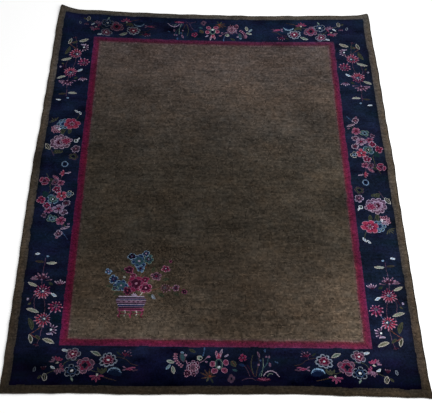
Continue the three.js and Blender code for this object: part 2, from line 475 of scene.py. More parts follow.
def chrysanthemum_spray(b):
    b.stroke([(1192, -790), (1196, -870), (1200, -960), (1186, -1060), (1158, -1170), (1156, -1275),
              (1164, -1400), (1182, -1478)], MAUVE)
    b.stroke([(1222, -1076), (1232, -1150), (1206, -1250)], MAUVE)
    b.stroke([(1240, -1100), (1256, -1136), (1262, -1160)], WINE)
    b.stroke([(1094, -1190), (1116, -1232), (1146, -1272)], SLATE)
    b.stroke([(1160, -1330), (1196, -1364), (1226, -1388)], BARK)
    b.stroke([(1170, -1424), (1206, -1408), (1232, -1388)], BARK, 5)
    b.bud(1179, -773, 17, 16, SLATE, SKY)
    b.bud(1251, -753, 36, 14, SKY, WHITE, turn=-8)
    b.leaf((1184, -828), (1110, -826), 22, STRAW, CREAM, CELADON, bend=4)
    b.leaf((1198, -822), (1260, -815), 19, MOSS, UMBER)
    b.fan(1203, -978, 76, 92, 78, 7, MAUVE, LILAC, 0.12, 0.36)
    b.fan(1203, -978, 64, 88, 42, 4, WINE, ROSE, 0.14, 0.16)
    b.bud(1203, -966, 12, 14, LILAC)
    b.fan(1076, -1014, 52, 92, 46, 5, LILAC, PALE, 0.16, 0.26)
    b.fan(1076, -1014, 30, 84, 40, 3, WINE, LILAC, 0.22)
    b.leaf((1224, -1019), (1292, -988), 23, STRAW, CREAM, CELADON, bend=-3)
    b.leaf((1224, -964), (1270, -948), 15, MOSS, LILAC)
    b.leaf((1152, -988), (1120, -1010), 22, MOSS)
    b.fan(1186, -1060, 66, -84, 78, 8, CORAL, ROSE, 0.15, 0.2)
    b.fan(1186, -1060, 58, 96, 94, 9, CRIMSON, PINK, 0.13, 0.3)
    b.fan(1186, -1062, 38, 92, 120, 7, LILAC, PALE, 0.12, 0.2)
    b.bud(1186, -1063, 22, 18, TEAL, SLATE)
    b.bud(1181, -1058, 9, 9, WHITE)
    b.leaf((1086, -1102), (1128, -1074), 20, SKY, WHITE)
    b.stroke([(1128, -1074), (1158, -1064)], LILAC)
    b.bud(1276, -1123, 17, 16, SLATE, PALE)
    b.leaf((1250, -1150), (1272, -1168), 14, OLIVE)
    b.daisy(1084, -1174, 54, CRIMSON, ROSE, PINK, CRIMSON, petals=10, turn=15, aim=-70)
    b.leaf((1192, -1228), (1280, -1199), 26, STRAW, CREAM, CELADON, bend=4)
    b.daisy(1154, -1274, 60, CORAL, ROSE, CRIMSON, SLATE, petals=14, turn=10)
    b.fan(1156, -1278, 36, 110, 150, 8, TEAL, SKY, 0.12, 0.2)
    b.bud(1149, -1274, 11, 11, WHITE)
    b.leaf((1254, -1268), (1220, -1360), 32, MOSS, OLIVE, OLIVE, bend=-5)
    b.fan(1102, -1356, 52, 166, 80, 6, LILAC, PALE, 0.17, 0.3)
    b.bud(1098, -1357, 14, 15, WHITE)
    b.leaf((1086, -1386), (1128, -1388), 13, SLATE, PALE)
    b.leaf((1066, -1459), (1146, -1425), 30, STRAW, CREAM, OLIVE, bend=4)
    b.leaf((1160, -1430), (1196, -1398), 20, MOSS, OLIVE)
    b.leaf((1237, -1392), (1216, -1458), 27, OLIVE, CREAM, MOSS, bend=-3)
    b.fan(1184, -1462, 22, -84, 60, 3, WINE, MAUVE, 0.3)


def blossom_branch(b):
    b.stroke([(1050, 622), (1070, 592), (1094, 560)], SLATE)
    b.stroke([(1112, 560), (1100, 500), (1118, 440), (1150, 380), (1182, 330), (1190, 260), (1176, 180),
              (1156, 110), (1140, 20)], MAUVE)
    b.stroke([(1268, 270), (1240, 226), (1214, 196), (1218, 150), (1228, 90), (1256, 24)], OLIVE)
    b.stroke([(1118, 440), (1082, 500), (1056, 520)], OLIVE)
    b.leaf((1226, 250), (1262, 190), 44, (18, 36, 40))
    b.leaf((1180, 110), (1232, 66), 26, MOSS)
    b.blossom(1118, 572, 29, MAUVE, PALE, ROSE, 4, turn=10)
    b.bud(1128, 606, 18, 20, WINE, ROSE)
    b.leaf((1044, 504), (1112, 532), 19, MAUVE, PALE, bend=4)
    b.bud(1056, 486, 20, 13, MAUVE, LILAC)
    b.blossom(1113, 458, 37, PINK, ROSE, CRIMSON, turn=50)
    b.bloom(1178, 440, 35, [(1, TEAL, CELADON), (0.56, NIGHT, SKY)], 4, 0.42, 1.0, 30)
    b.blossom(1236, 412, 20, MAUVE, LILAC, MAUVE, 4)
    b.blossom(1102, 382, 29, MAUVE, PALE, LILAC)
    b.blossom(1140, 350, 41, LILAC, PALE, CRIMSON, turn=60)
    b.blossom(1208, 366, 31, PINK, LILAC, WINE, turn=30)
    b.blossom(1224, 324, 30, CRIMSON, PALE, PINK, 4, turn=4)
    b.blossom(1090, 298, 30, MAUVE, PALE, CRIMSON, turn=80)
    b.blossom(1268, 272, 34, CRIMSON, ROSE, PINK, 4, turn=20)
    b.bloom(1186, 264, 43, [(1, TEAL, SKY), (0.56, NIGHT, CELADON), (0.14, WHITE)],
            4, 0.4, 1.0, 42)
    b.bloom(1074, 212, 30, [(1, NIGHT, CREAM), (0.5, NIGHT, SKY)], 4, 0.4)
    b.blossom(1130, 230, 42, CORAL, ROSE, PALE, turn=20)
    b.blossom(1166, 172, 34, CRIMSON, PALE, ROSE, turn=10)
    b.blossom(1148, 108, 29, PINK, ROSE, WINE, turn=70)
    b.blossom(1188, 106, 27, MAUVE, LILAC, PINK, 4, turn=30)
    b.bloom(1264, 92, 39, [(1, CRIMSON, ROSE), (0.55, WINE, LILAC)], 3, 0.4, 1.0, 100)
    b.leaf((1160, 80), (1210, 38), 26, CRIMSON, LILAC, ROSE)
    b.fan(1128, 18, 40, -8, 60, 4, CORAL, ROSE, 0.26)
    b.leaf((1128, 18), (1082, 4), 14, MAUVE, PALE)


def peony_group(b):
    b.leaf((-1112, 628), (-1090, 600), 16, SLATE, WHITE, bend=3)
    b.leaf((-1084, 616), (-1056, 576), 18, SLATE, WHITE, bend=3)
    b.stroke([(-1068, 592), (-1082, 540), (-1112, 500), (-1150, 440), (-1176, 380)], OLIVE)
    b.stroke([(-1236, 450), (-1204, 400), (-1186, 350)], OLIVE)
    b.stroke([(-1270, 250), (-1246, 200), (-1224, 150)], MAUVE)
    b.fan(-1254, 500, 50, 130, 60, 5, OLIVE, None, 0.16)
    b.leaf((-1128, 436), (-1134, 372), 30, MOSS, OLIVE, OLIVE)
    b.leaf((-1188, 430), (-1180, 366), 26, MOSS, OLIVE)
    b.bloom(-1192, 476, 58, [(1, INDIGO, SKY), (0.74, SLATE, CELADON), (0.46, INDIGO, SKY)],
            6, 0.26, 0.72, 10)
    b.peony(-1122, 480, 62, CHERRY, ROSE, CRIMSON, CORAL, OLIVE, 6, turn=12)
    b.fan(-1122, 480, 28, 40, 150, 7, LILAC, PALE, 0.22)
    b.bud(-1122, 480, 18, 18, WINE, OLIVE)
    b.lined_fan(-1240, 424, 42, 80, 30, 3, MAUVE, PALE, 0.5)
    b.lined_fan(-1240, 424, 42, 186, 32, 3, MAUVE, ROSE, 0.5)
    b.lined_fan(-1236, 422, 48, -80, 30, 3, WINE, ROSE, 0.42)
    b.bud(-1214, 420, 17, 24, PALE, WHITE)
    b.bloom(-1192, 286, 80, [(1, MAUVE, PALE), (0.82, MAUVE, LILAC), (0.64, LILAC, PALE),
                             (0.42, WINE, LILAC)], 9, 0.28, 0.92, 8)
    b.bloom(-1148, 296, 46, [(1, MAUVE, PALE), (0.74, CRIMSON, ROSE), (0.36, CRIMSON, PINK)],
            6, 0.36, 1.0, 16)
    b.leaf((-1298, 268), (-1260, 210), 36, NIGHT, CREAM, STRAW)
    b.bud(-1290, 222, 14, 12, STRAW)
    b.lined_fan(-1196, 170, 46, 100, 60, 4, MOSS, OLIVE, 0.46)
    b.bud(-1072, 302, 34, 34, NIGHT, WHITE, turn=20)
    b.bud(-1072, 302, 12, 12, CELADON)
    b.leaf((-1064, 306), (-1048, 336), 13, PALE, WHITE)
    b.blossom(-1068, 220, 35, MAUVE, PALE, ROSE, turn=30)
    b.bloom(-1078, 142, 36, [(1, MOSS, MAUVE), (0.6, NIGHT, OLIVE)], 5, 0.34)
    b.bud(-1134, 66, 48, 56, NIGHT, SKY, turn=10)
    b.bud(-1134, 66, 39, 47, NIGHT, SLATE, turn=10)


def end_spray(b):
    b.stroke([(664, -1548), (618, -1556), (584, -1568), (552, -1596), (508, -1610)], UMBER)
    b.stroke([(560, -1500), (590, -1530), (600, -1562)], MAUVE)
    b.stroke([(640, -1718), (680, -1708), (714, -1697), (752, -1680)], UMBER, 7, 0.5)
    b.stroke([(690, -1606), (742, -1660), (800, -1650), (850, -1612)], OLIVE)
    b.stroke([(890, -1580), (940, -1578), (976, -1598), (996, -1632), (1040, -1652), (1096, -1680)], OLIVE)
    b.fan(590, -1548, 50, 96, 70, 6, WINE, LILAC, 0.14, 0.3)
    b.fan(590, -1546, 30, 100, 40, 3, CRIMSON, None, 0.2)
    b.leaf((622, -1536), (650, -1512), 14, MOSS)
    b.leaf((586, -1632), (536, -1638), 17, CRIMSON, PINK)
    b.leaf((564, -1626), (516, -1624), 9, PINK)
    b.leaf((548, -1646), (500, -1640), 9, MAUVE)
    b.leaf((584, -1630), (604, -1614), 10, LILAC)
    b.leaf((584, -1638), (606, -1646), 10, LILAC)
    b.bloom(700, -1573, 55, [(1, NIGHT, MIST), (0.62, WINE, ROSE), (0.36, CRIMSON),
                             (0.15, WHITE)], 8, 0.26, 1.0, 10, None, 2)
    b.leaf((750, -1545), (816, -1513), 28, CELADON, CREAM, OLIVE, bend=4)
    b.leaf((606, -1676), (694, -1662), 44, (10, 19, 40), bend=6)
    b.stroke([(610, -1664), (628, -1638), (654, -1630), (684, -1638), (698, -1660)], SKY, 10, 0.7)
    b.stroke([(620, -1658), (634, -1647), (656, -1641), (680, -1648)], SLATE, 4)
    b.lined_fan(736, -1680, 58, 92, 32, 3, MOSS, OLIVE, 0.26)
    b.lined_fan(768, -1686, 48, -92, 84, 5, CRIMSON, PINK, 0.28)
    b.bud(764, -1680, 14, 18, CREAM)
    b.peony(846, -1614, 58, MAUVE, ROSE, CRIMSON, LILAC, WINE, 6, turn=34)
    b.bloom(846, -1614, 23, [(1, NIGHT, MAUVE)], 4, 0.4, seam=None)
    b.bloom(930, -1534, 48, [(1, MAUVE, MIST), (0.62, WINE, ROSE), (0.36, CRIMSON),
                             (0.17, WHITE)], 5, 0.36, 1.0, 110)
    b.leaf((964, -1512), (1004, -1503), 18, SKY, WHITE)
    b.bloom(926, -1654, 48, [(1, NIGHT, MIST), (0.6, NIGHT, SLATE), (0.2, WHITE)],
            6, 0.34, 1.0, 20)
    b.leaf((928, -1700), (912, -1728), 13, CELADON)
    b.lined_fan(1026, -1588, 42, 110, 40, 3, CRIMSON, PINK, 0.36)
    b.lined_fan(1030, -1590, 48, 26, 24, 3, CRIMSON, LILAC, 0.24, 0.2)
    b.bud(1024, -1597, 20, 13, CREAM, turn=-20)
    b.lined_fan(1012, -1634, 46, -96, 50, 4, WINE, LILAC, 0.3)
    b.lined_fan(1006, -1632, 32, 150, 50, 3, WINE, PINK, 0.34)
    b.leaf((1034, -1640), (1066, -1618), 16, SKY, WHITE, bend=-3)
    b.fan(1106, -1656, 42, 84, 26, 3, WINE, LILAC, 0.2, 0.2)
    b.bud(1165, -1643, 19, 36, NIGHT, MIST, turn=15)
    b.leaf((1100, -1670), (1090, -1726), 34, NIGHT, CREAM, STRAW)
    b.leaf((1118, -1684), (1138, -1710), 16, MOSS, OLIVE)


def end_middle(b):
    b.leaf((-272, -1592), (-324, -1577), 23, CELADON, CREAM, OLIVE)
    b.leaf((-296, -1604), (-326, -1642), 19, CELADON, SKY)
    b.leaf((-284, -1616), (-274, -1672), 24, OLIVE, CREAM, CELADON)
    b.leaf((-228, -1514), (-212, -1590), 36, TEAL, MAUVE)
    for x, y, turn in ((-266, -1530, 0), (-268, -1546, 0), (-266, -1562, 10), (-260, -1578, 24),
                       (-250, -1593, 36), (-238, -1606, 46), (-224, -1617, 56)):
        b.bud(x, y, 28, 12, CRIMSON, ROSE, turn=turn)
    b.stroke([(-262, -1524), (-264, -1562), (-250, -1592), (-226, -1612)], WINE)
    b.bud(-223, -1517, 24, 12, SLATE, SKY, turn=-6)
    b.bud(-201, -1537, 18, 15, LILAC, PALE)
    b.stroke([(-196, -1580), (-190, -1600), (-188, -1622)], LILAC, 6)
    b.bloom(-152, -1628, 52, [(1, WINE, LILAC), (0.76, WINE, PALE), (0.5, MAUVE, ROSE)],
            8, 0.3, 0.9, 0)
    b.blossom(-188, -1668, 25, WINE, ROSE, LILAC, turn=40)
    b.blossom(-146, -1672, 18, WINE, LILAC, ROSE, turn=10)
    b.leaf((-180, -1492), (-136, -1516), 20, MOSS, OLIVE)
    b.stroke([(-108, -1592), (-84, -1577), (-60, -1552)], LILAC, 5)
    b.bud(-110, -1557, 36, 34, CELADON, CREAM)
    b.bud(-102, -1561, 14, 14, NIGHT)
    b.stroke([(-78, -1482), (-80, -1506), (-88, -1542)], SLATE, 6)
    b.bud(-50, -1547, 20, 14, PINK, ROSE)
    b.bud(-66, -1585, 20, 14, MAUVE, LILAC)
    for tip in ((-108, -1662), (-80, -1640), (-46, -1632), (-14, -1646), (-98, -1704), (-6, -1686)):
        b.leaf((-46, -1694), tip, 10, BARK, UMBER)
    b.leaf((-44, -1694), (-22, -1736), 12, MOSS)
    b.leaf((-48, -1694), (-66, -1730), 12, OLIVE)
    b.bud(-44, -1690, 17, 19, RUST)
    for x, y, turn in ((-26, -1600, 80), (60, -1590, 100), (-14, -1650, 30), (50, -1646, -30)):
        b.bud(x, y, 44, 38, CRIMSON, ROSE, turn=turn)
        b.bud(x, y, 26, 18, WINE, PINK, turn=turn)
    b.bud(15, -1600, 50, 74, NIGHT, CELADON)
    b.bud(15, -1598, 33, 52, NIGHT, TEAL)
    b.bud(15, -1622, 19, 17, WHITE)
    b.bud(12, -1542, 36, 44, CRIMSON, PINK)
    b.bud(12, -1538, 16, 22, CORAL)
    b.leaf((2, -1552), (-2, -1500), 15, MAUVE, ROSE)
    b.leaf((22, -1550), (37, -1490), 15, MAUVE, PALE)
    b.bud(26, -1527, 18, 16, ROSE)
    b.leaf((52, -1548), (78, -1530), 13, SLATE, PALE)
    b.blossom(170, -1554, 27, CRIMSON, PINK, LILAC, turn=30)
    b.leaf((96, -1576), (124, -1618), 36, MOSS, OLIVE, BARK)
    b.leaf((142, -1600), (186, -1614), 22, INDIGO)
    b.leaf((100, -1638), (134, -1650), 17, TEAL)
    b.bloom(94, -1706, 30, [(1, None, MAUVE), (0.5, NIGHT, MAUVE)], 4, 0.3, 0.8, 10, None)
    for path, colour in (
        ([(240, -1686), (228, -1640), (224, -1590), (236, -1532)], OLIVE),
        ([(214, -1690), (200, -1650), (182, -1616)], MAUVE),
        ([(240, -1690), (222, -1650), (196, -1606)], WINE),
        ([(286, -1688), (296, -1644), (304, -1600), (302, -1556)], CELADON),
        ([(252, -1692), (262, -1640), (276, -1590), (278, -1530)], UMBER),
        ([(270, -1690), (296, -1640), (326, -1596), (338, -1550)], TEAL),
    ):
        b.stroke(path, colour)
    b.stroke([(162, -1718), (192, -1706), (228, -1706), (252, -1720)], MAUVE, 5, 0.5)
    b.leaf((280, -1548), (268, -1506), 14, WINE, LILAC)
    b.bud(317, -1498, 13, 24, INDIGO, SLATE)
    b.bud(324, -1544, 15, 13, LILAC)
    b.bud(343, -1546, 14, 20, MAUVE, LILAC)
    b.leaf((402, -1592), (378, -1578), 9, SLATE)
    b.bud(272, -1604, 16, 15, LILAC)
    b.bud(286, -1572, 13, 13, SLATE)
    b.leaf((344, -1588), (346, -1618), 15, WINE, LILAC)
    b.leaf((252, -1714), (350, -1714), 26, WINE, bend=2)
    for tip in ((262, -1700), (288, -1696), (316, -1698), (344, -1706)):
        b.leaf((302, -1718), tip, 6, PINK)
    b.stroke([(326, -1688), (342, -1668), (360, -1674)], CELADON, 5, 0.4)
    b.stroke([(300, -1688), (320, -1660), (350, -1649), (378, -1662), (402, -1692)], PALE, 7, 0.5)


def bowl_of_flowers(b):
    """A round bowl on a low stand, with a loose bunch of mixed flowers."""
    b.stroke([(-590, -1094), (-604, -1000), (-584, -900), (-536, -810)], BARK, 6)
    b.stroke([(-570, -1094), (-556, -1000), (-500, -900), (-470, -790)], BARK, 5)
    b.stroke([(-550, -1094), (-480, -1004), (-420, -940), (-340, -856), (-318, -806)], OLIVE, 5)
    b.stroke([(-540, -1094), (-450, -1050), (-350, -1020), (-260, -1024), (-214, -1052)], BARK, 5)
    b.stroke([(-604, -1094), (-650, -1030), (-706, -970), (-744, -890)], MOSS, 5)
    b.stroke([(-318, -806), (-306, -776)], STRAW)
    for root, tip, wide in (((-400, -1062), (-350, -1096), 30), ((-470, -1070), (-420, -1106), 26),
                            ((-640, -1070), (-700, -1080), 26), ((-620, -900), (-664, -868), 28),
                            ((-372, -962), (-320, -948), 28), ((-560, -850), (-606, -800), 26),
                            ((-444, -900), (-424, -850), 24), ((-700, -1010), (-756, -1016), 26),
                            ((-290, -1060), (-250, -1086), 24), ((-520, -900), (-486, -866), 24)):
        b.leaf(root, tip, wide, MOSS, OLIVE, OLIVE)
    b.peony(-536, -806, 54, INDIGO, SKY, TEAL, SLATE, PALE, 6, turn=12)
    b.blossom(-588, -768, 30, NIGHT, SKY, SLATE, turn=40)
    b.blossom(-470, -790, 38, TEAL, CELADON, SKY, turn=70)
    b.blossom(-490, -742, 26, INDIGO, SKY, PALE, 4)
    b.blossom(-524, -868, 30, SLATE, SKY, NIGHT, turn=10)
    b.blossom(-600, -880, 32, WINE, PINK, ROSE, turn=20)
    b.blossom(-570, -926, 22, CRIMSON, ROSE, PINK, 4)
    b.peony(-652, -1008, 48, INDIGO, SKY, TEAL, SLATE, PALE, 6)
    b.blossom(-704, -958, 34, INDIGO, SKY, SLATE, turn=26)
    b.blossom(-690, -1034, 22, TEAL, CELADON, SKY, 4)
    b.blossom(-744, -896, 24, SLATE, SKY, PALE, 4)
    b.peony(-548, -992, 60, CRIMSON, PINK, WINE, PINK, ROSE, 6, turn=6)
    b.peony(-482, -1026, 44, CRIMSON, ROSE, WINE, PINK, ROSE, 5, turn=26)
    b.blossom(-604, -1052, 32, WINE, PINK, CORAL, turn=50)
    b.blossom(-488, -960, 28, CRIMSON, PINK, ROSE, 5, turn=20)
    b.blossom(-412, -930, 36, MAUVE, ROSE, CRIMSON, turn=18)
    b.blossom(-348, -868, 30, CRIMSON, ROSE, PALE, turn=50)
    b.bud(-316, -806, 20, 26, WINE, PINK)
    b.daisy(-352, -1022, 38, WINE, ROSE, MAUVE, PINK, 11)
    b.blossom(-276, -1024, 26, MAUVE, ROSE, CRIMSON, turn=30)
    b.blossom(-216, -1052, 20, WINE, PINK, ROSE, 4)
    b.lined_fan(-440, -1104, 30, 30, 40, 3, TEAL, MIST, 0.4)
    b.bud(-632, -940, 18, 16, CELADON, CREAM)
    b.lined_fan(-560, -1092, 26, 80, 60, 4, MAUVE, PALE, 0.34)
    b.stroke([(-524, -1094), (-508, -1076), (-500, -1058)], CREAM, 5)

    Brush.count += 1
    block, dx, up = b.around(-575, -1180, 130)
    half = 62 + 40 * np.sqrt(np.clip((up + 14) / 60, 0, 1)) - 16 * smooth((up - 60) / 24)
    for top, low, colour in (
        (86, 80, PALE), (80, 72, NIGHT), (72, 67, LILAC), (67, 56, INDIGO), (56, 51, PALE), (51, 36, MAUVE),
        (36, 31, LILAC), (31, 21, NIGHT), (21, 16, PALE), (16, 6, INDIGO), (6, 0, LILAC), (0, -8, NIGHT),
    ):
        b.lay_on(block, (up <= top) & (up > low) & (np.abs(dx) < half), colour)
    for top, low, wide, colour in ((-8, -28, 88, PINK), (-13, -23, 80, WINE)):
        b.lay_on(block, (up <= top) & (up > low) & (np.abs(dx) < wide), colour)
    for x in (-639, -607, -575, -543, -511):
        b.bud(x, -1136, 20, 12, NIGHT, LILAC)
    for x in (-650, -575, -500):
        b.stroke([(x, -1208), (x + 5, -1228), (x - 5, -1246), (x + 3, -1260)], CRIMSON, 8)
        b.stroke([(x - 4, -1208), (x + 1, -1228), (x - 9, -1246)], PINK)
    for x in (-613, -537):
        b.stroke([(x, -1208), (x + 4, -1228), (x - 2, -1250)], CREAM, 5)
    b.stroke([(-650, -1234), (-613, -1228), (-575, -1236), (-537, -1228), (-500, -1234)], CRIMSON)


def knot_motifs():
    """One table serves several sides: its flips, its shifts along X and Y, and the tone of its dyes."""
    for side in ((1, 1, 0, 0), (-1, 1, 8, -4, 0.94), (1, -1, 4, -8, 0.96), (-1, -1, -4, -14, 0.96)):
        chrysanthemum_spray(Brush(*side))
    blossom_branch(Brush(tone=0.91))
    blossom_branch(Brush(-1, -1, 0, -8, 0.88))
    peony_group(Brush(tone=0.90))
    peony_group(Brush(-1, -1, 0, 4))
    for side in ((1, 1, 0, 0, 0.9), (-1, 1, 0, -4, 0.76), (1, -1, -10, -6, 0.96), (-1, -1, 4, 2, 0.76)):
        end_spray(Brush(*side))
    end_middle(Brush(tone=0.84))
    end_middle(Brush(-1, -1, 0, -4))
    bowl_of_flowers(Brush(tone=0.88))


# Patches that look lighter or darker, partly wear and partly painted sheen and shade: middle, reaches,
# change in the middle.
PATCHES = [
    (880, -1120, 330, 420, 0.29),
    (620, 150, 520, 600, 0.07),
    (640, 640, 300, 300, -0.12),
    (60, -760, 320, 220, -0.09),
    (-80, -480, 520, 420, -0.08),
    (-800, 350, 350, 500, -0.08),
    (150, 1000, 480, 380, 0.08),
    (-1340, 120, 70, 210, -0.34),
    (-1340, 1080, 70, 260, 0.16),
    (1050, -1790, 420, 60, 0.24),
    (-430, 1620, 330, 120, -0.30),
    (560, 1620, 330, 120, 0.16),
    (-1180, -1620, 280, 170, -0.34),
    (1000, -1600, 300, 200, 0.12),
    (-900, 1600, 460, 150, -0.30),
    (0, -830, 420, 200, -0.12),
    (-60, -1330, 420, 150, -0.20),
    (100, 520, 420, 200, -0.06),
    (220, -1090, 340, 280, -0.19),
    (-60, 160, 500, 560, -0.10),
    (-680, 860, 420, 320, -0.12),
    (-850, 1340, 300, 170, 0.13),
    (180, -220, 260, 200, -0.07),
    (-1340, 610, 60, 170, 0.18),
    (-280, -1110, 210, 220, -0.15),
    (380, -1350, 620, 150, -0.10),
    (-1000, 1290, 70, 220, 0.24),
    (-1000, 300, 60, 180, 0.14),
    (1250, -1650, 160, 130, -0.14),
    (-1250, -1620, 160, 130, -0.14),
    (-1000, -1310, 70, 230, 0.26),
    (1000, -220, 60, 230, 0.18),
]


# How strongly the dye varies in weft streaks, in clouds, from tuft to tuft and from knot to knot, and the
# share of that on the bands round the field and on the motifs. No streak and no dye leaves its limits.
STREAK, CLOUD, TUFT, SPECK = 0.055, 0.04, 0.12, 0.15
BAND_SHARE, MOTIF_SHARE = 0.7, 0.45
STREAK_LIMITS = (-1.7, 2.2)
DYE_LIMITS = (0.4, 1.8)


def uneven_dye():
    """Abrash, weft streaks, knot-to-knot variation and a few lighter and darker patches, partly wear and
    partly painted sheen and shade.
    """
    plain = motif == 0
    outer = ~within(BORDER)
    streaks = mottled((1, 21, 90, KNOT_Y * 2.3), (0.7, 22, 36, KNOT_Y * 1.8))
    cloudy = mottled((1, 25, 150, 120), (0.4, 26, 60, 40), (1.2, 24, 320, 260))
    tufts = mottle(30, KNOT_X * 2.2, KNOT_Y * 2.2)
    speck = np.random.default_rng(27).standard_normal((ROWS, COLUMNS))
    amount = STREAK * np.clip(streaks, *STREAK_LIMITS) + CLOUD * cloudy + TUFT * tufts + SPECK * speck
    amount *= np.where(within(FIELD) & plain, 1.0, np.where(plain, BAND_SHARE, MOTIF_SHARE))
    # On the outer band, blotches that are partly painted shade of its slack ripples and partly its own
    # uneven dye.
    amount[outer] += mottled((0.03, 34, 110, 110))[outer]
    dye[:] = dye * np.clip(1 + amount, *DYE_LIMITS)[..., None]
    for x, y, reach_x, reach_y, change in PATCHES:
        away = np.hypot((across[None, :] - x) / reach_x, (along[:, None] - y) / reach_y)
        dye[:] = dye * (1 + change * smooth(1 - away))[..., None]

    # The border's blue drifts a little in colour, and the whole carpet turns a little warmer or cooler.
    blue = ~outer & ~within(STRIPE) & plain
    for seed, shift in ((71, (-0.7, 0.8, -0.5)), (72, (1.8, 2.4, 3.4))):
        dye[blue] += np.array(shift) * mottle(seed, 110, 60)[blue][:, None]
    warm = mottled((0.009, 28, 200, 160), (0.009, 29, 40, 30))
    dye[..., 0] *= 1 + warm
    dye[..., 2] /= 1 + warm
    np.clip(dye, 0, 255, out=dye)


def linear(colour):
    c = np.asarray(colour, float) / 255
    return np.where(c <= 0.04045, c / 12.92, ((c + 0.055) / 1.055) ** 2.4)


knot_grounds()
knot_motifs()
uneven_dye()
WOOL = linear(dye)

# The pile's height at distances in from the edge, its unevenness, and how deep it is clipped round a motif.
PILE_INSETS = (0, 9, 16, 28, 60)
PILE_HEIGHTS = (4.5, 6.4, 8.4, 9.3, 9.6)
PILE_SPREAD = 0.22
CLIPPED = 1.1

# The foundation's top, and how far the pile's blocks reach down into it.
GROUND = 3.0
ROOTED = 0.1


def pile_heights():
    """The pile's surface at the grid's corners."""
    gx = np.arange(COLUMNS + 1) * KNOT_X - HALF_W
    gy = np.arange(ROWS + 1) * KNOT_Y - HALF_L
    inset = np.minimum(HALF_W - np.abs(gx)[None, :], HALF_L - np.abs(gy)[:, None])
    height = np.interp(inset, PILE_INSETS, PILE_HEIGHTS)
    height += PILE_SPREAD * np.random.default_rng(41).standard_normal(height.shape)
    padded = np.pad(motif, 1)
    corners = np.stack([padded[1:, 1:], padded[1:, :-1], padded[:-1, 1:], padded[:-1, :-1]])
    height -= np.where(corners.max(0) != corners.min(0), CLIPPED, 0.0)
    return place(*np.broadcast_arrays(gx, gy[:, None], height))


LATTICE = pile_heights()


def set_rows(rows, field, values, kind=np.float32):
    """Sets one field of all the points, corners, faces or edges of a mesh."""
    rows.foreach_set(field, np.asarray(values, kind).ravel())


class Piece:
    """Collects faces and their colours, and makes one object of them."""

    def __init__(self):
        self.points, self.knots, self.loops, self.sizes = [], [], [], []
        self.colours, self.uvs, self.hard = [], [], []
        self.count = 0

    def add_points(self, xyz, column, row):
        """Adds points with their places on the grid of knots, and gives their numbers in the same shape."""
        numbers = self.count + np.arange(xyz[..., 0].size).reshape(xyz.shape[:-1])
        self.points.append(xyz.reshape(-1, 3))
        self.knots.append(np.stack([column, row, np.full(column.shape, 0.5)], -1).reshape(-1, 3))
        self.count += numbers.size
        return numbers

    def add_faces(self, corners, colours, uvs, hard=False):
        """corners is (faces, n) point numbers, colours (faces, 3) and uvs (faces, n, 2)."""
        faces, n = corners.shape
        self.loops.append(corners.reshape(-1))
        self.sizes.append(np.full(faces, n))
        self.colours.append(np.repeat(np.broadcast_to(colours, (faces, 3)), n, axis=0))
        self.uvs.append(np.asarray(uvs).reshape(-1, 2))
        self.hard.append(np.full(corners.size, hard))

    def build(self, name, material):
        points, loops, sizes = map(np.concatenate, (self.points, self.loops, self.sizes))
        mesh = bpy.data.meshes.new(name)
        mesh.vertices.add(len(points))
        mesh.loops.add(len(loops))
        mesh.polygons.add(len(sizes))
        set_rows(mesh.vertices, "co", points)
        set_rows(mesh.loops, "vertex_index", loops, np.int32)
        set_rows(mesh.polygons, "loop_start", np.cumsum(sizes) - sizes, np.int32)
        set_rows(mesh.polygons, "use_smooth", np.full(len(sizes), True), bool)
        mesh.update(calc_edges=True)
        dyes = mesh.color_attributes.new(name="dye", type="FLOAT_COLOR", domain="CORNER")
        set_rows(dyes.data, "color", np.insert(np.concatenate(self.colours), 3, 1.0, axis=1))
        knots = mesh.attributes.new(name="knots", type="FLOAT_VECTOR", domain="POINT")
        set_rows(knots.data, "vector", np.concatenate(self.knots))
        set_rows(mesh.uv_layers.new(name="OFBake").data, "uv", np.concatenate(self.uvs))
        sharpen(mesh, np.concatenate(self.hard))
        mesh.validate()
        mesh.materials.append(material)
        piece = bpy.data.objects.new(name, mesh)
        bpy.context.scene.collection.objects.link(piece)
        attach(piece, "root")
        return piece


def sharpen(mesh, hard_loops):
    """Marks the hard faces' edges sharp, so that a seam between two pieces doesn't show."""
    if not hard_loops.any():
        return
    edges = np.zeros(len(mesh.loops), np.int32)
    mesh.loops.foreach_get("edge_index", edges)
    sharp = np.zeros(len(mesh.edges), bool)
    sharp[edges[hard_loops]] = True
    layer = mesh.attributes.new(name="sharp_edge", type="BOOLEAN", domain="EDGE")
    set_rows(layer.data, "value", sharp, bool)


# The texture's rows: tops of the pile, walls, and foot. A lane keeps a gap on both sides.
TOP_SPAN = (0.005, 0.955)
WALL_SPAN = (0.965, 0.978)
FOOT_SPAN = (0.985, 0.998)
LANE_GAP = 0.03


def lane_map(faces, total, lanes):
    """Folds a long run of faces into lanes of the texture: each face's lane, its start and its length."""
    lane = (faces * lanes) // total
    begin = -((-lane * total) // lanes)
    return lane[:, None], begin[:, None], total / lanes


def ribbon_uv(count, span):
    """A run of quads as one narrow row of the texture."""
    t = np.arange(count)[:, None] / count
    u = np.hstack([t, t + 1 / count, t + 1 / count, t])
    v = np.broadcast_to(np.repeat(span, 2), u.shape)
    return np.stack([u, v], -1)


def ring_uv(count, middle, spread):
    """A polygon's corners as a flat oval in the texture."""
    a = np.linspace(0, 2 * math.pi, count, endpoint=False)
    return np.stack([0.5 + 0.4 * np.cos(a), middle + spread * np.sin(a)], -1)


def rim_of(grid):
    """A grid's rim, anticlockwise from its near left corner."""
    return np.concatenate([grid[0, :-1], grid[:-1, -1], grid[-1, :0:-1], grid[:0:-1, 0]])


def grid_quads(number):
    return np.stack([number[:-1, :-1], number[:-1, 1:], number[1:, 1:], number[1:, :-1]], -1).reshape(-1, 4)


def wall_quads(lower, upper):
    return np.stack([lower, np.roll(lower, -1), np.roll(upper, -1), upper], -1)


